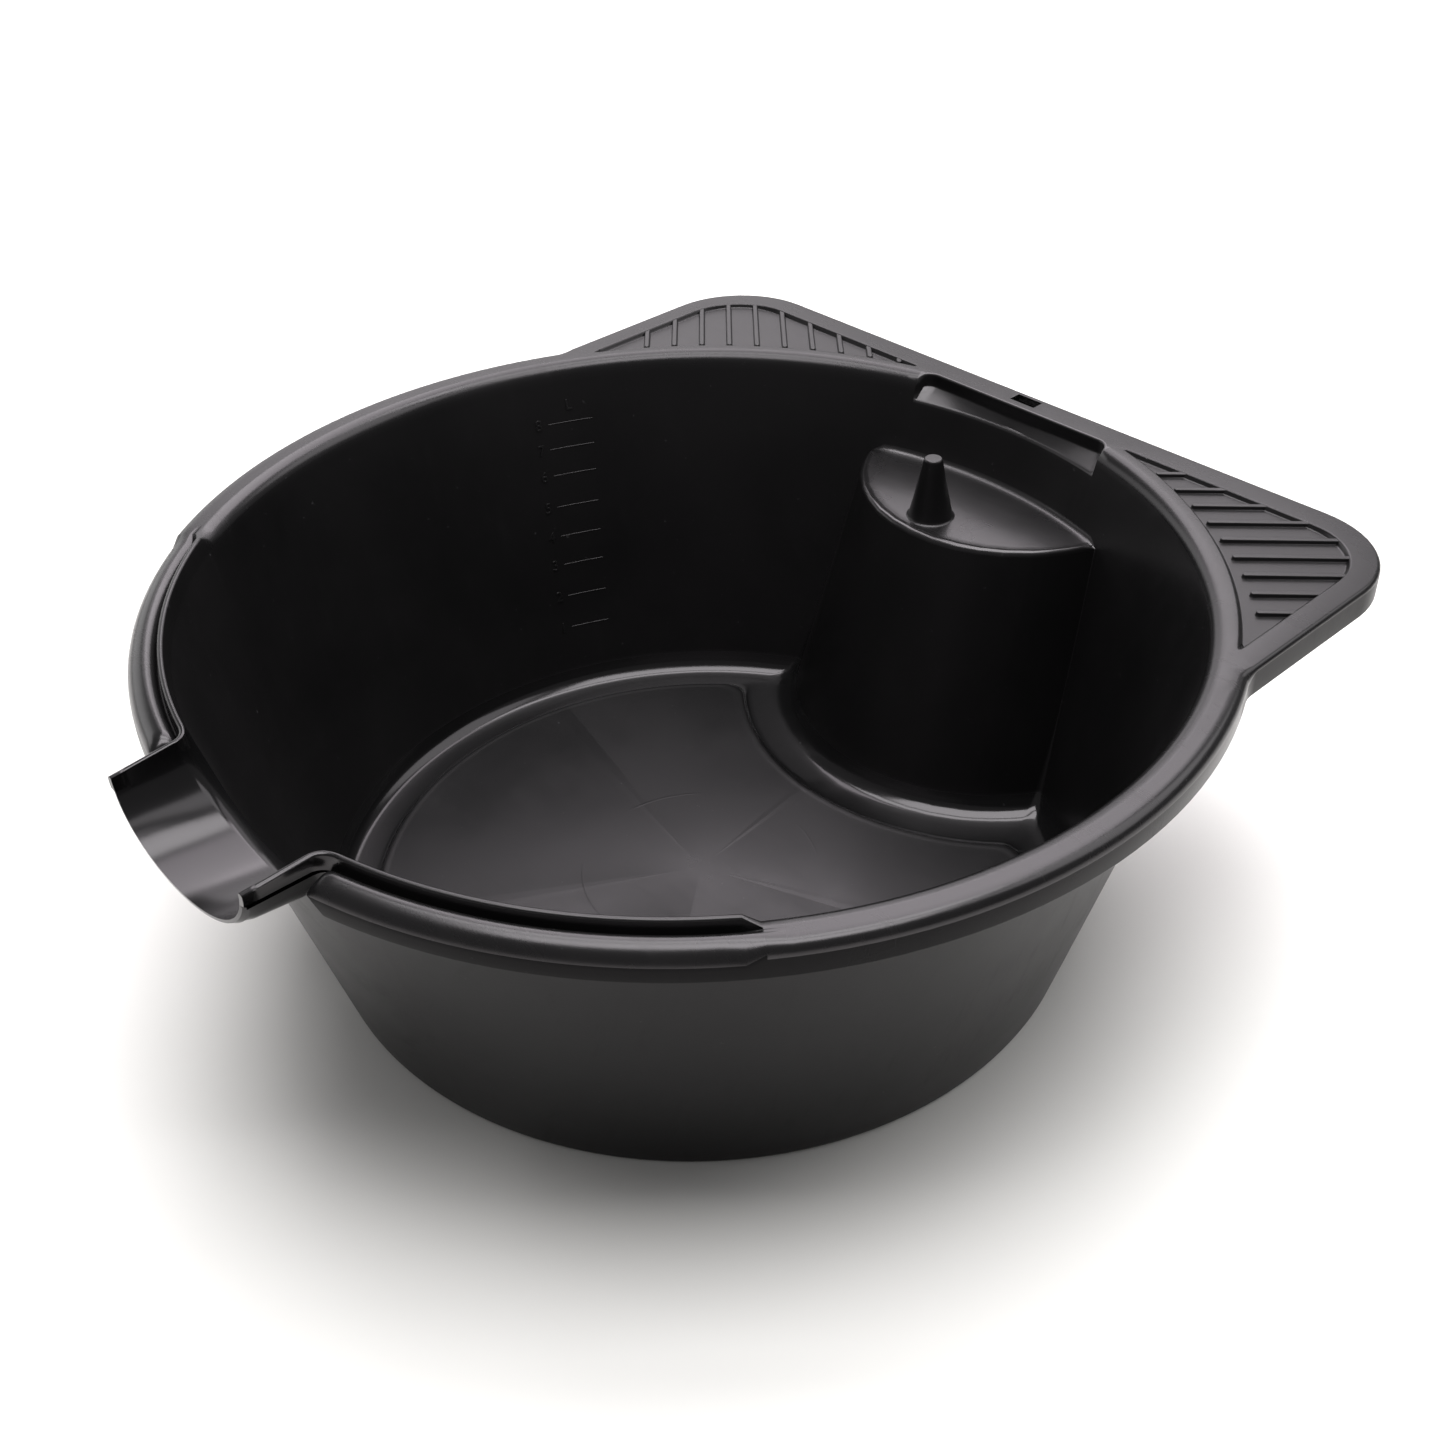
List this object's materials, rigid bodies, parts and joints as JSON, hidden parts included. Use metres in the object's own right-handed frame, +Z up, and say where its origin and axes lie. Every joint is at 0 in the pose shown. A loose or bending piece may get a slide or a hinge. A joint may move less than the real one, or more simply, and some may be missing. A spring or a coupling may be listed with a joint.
{
  "type": "oil drain pan",
  "caption": "Round open pan with a draining filter shelf and spike, pouring spout, ribbed corner grips, hanging slot and raised level marks.",
  "frame": {"origin": "on the ground under the middle of the plan outline's bounding box; the basin's own axis is 6.5 mm from it towards +Y", "axes": "+Z up; +Y towards the straight grip edge with the hanging hole, -Y towards the pouring spout; +X to the right-hand grip corner"},
  "size_m": [0.388, 0.399, 0.145],
  "materials": {
    "black_polypropylene": "semi-gloss as moulded"
  },
  "bodies": {
    "root": {"floor_plate": "black_polypropylene", "foot_ring": "black_polypropylene", "basin_wall": "black_polypropylene", "filter_column": "black_polypropylene", "filter_shelf": "black_polypropylene", "drain_cone": "black_polypropylene", "rim_flange_right": "black_polypropylene", "rim_flange_left": "black_polypropylene", "rim_bead_right": "black_polypropylene", "rim_bead_left": "black_polypropylene", "rim_skirt_right": "black_polypropylene", "rim_skirt_left": "black_polypropylene", "splash_guard_right": "black_polypropylene", "splash_guard_left": "black_polypropylene", "pour_spout": "black_polypropylene", "grip_frame": "black_polypropylene", "grip_panel_right": "black_polypropylene", "grip_panel_left": "black_polypropylene", "grip_skirt_right": "black_polypropylene", "grip_skirt_left": "black_polypropylene", "grip_skirt_back": "black_polypropylene", "grip_rib_right_01": "black_polypropylene", "grip_rib_left_01": "black_polypropylene", "grip_rib_right_02": "black_polypropylene", "grip_rib_left_02": "black_polypropylene", "grip_rib_right_03": "black_polypropylene", "grip_rib_left_03": "black_polypropylene", "grip_rib_right_04": "black_polypropylene", "grip_rib_left_04": "black_polypropylene", "grip_rib_right_05": "black_polypropylene", "grip_rib_left_05": "black_polypropylene", "grip_rib_right_06": "black_polypropylene", "grip_rib_left_06": "black_polypropylene", "grip_rib_right_07": "black_polypropylene", "grip_rib_left_07": "black_polypropylene", "grip_rib_right_08": "black_polypropylene", "grip_rib_left_08": "black_polypropylene", "grip_rib_right_09": "black_polypropylene", "grip_rib_left_09": "black_polypropylene", "grip_rib_right_10": "black_polypropylene", "grip_rib_left_10": "black_polypropylene", "rest_ledge": "black_polypropylene", "litre_mark_1": "black_polypropylene", "litre_mark_2": "black_polypropylene", "litre_mark_3": "black_polypropylene", "litre_mark_4": "black_polypropylene", "litre_mark_5": "black_polypropylene", "litre_mark_6": "black_polypropylene", "litre_mark_7": "black_polypropylene", "litre_mark_8": "black_polypropylene"}
  },
  "joints": []
}
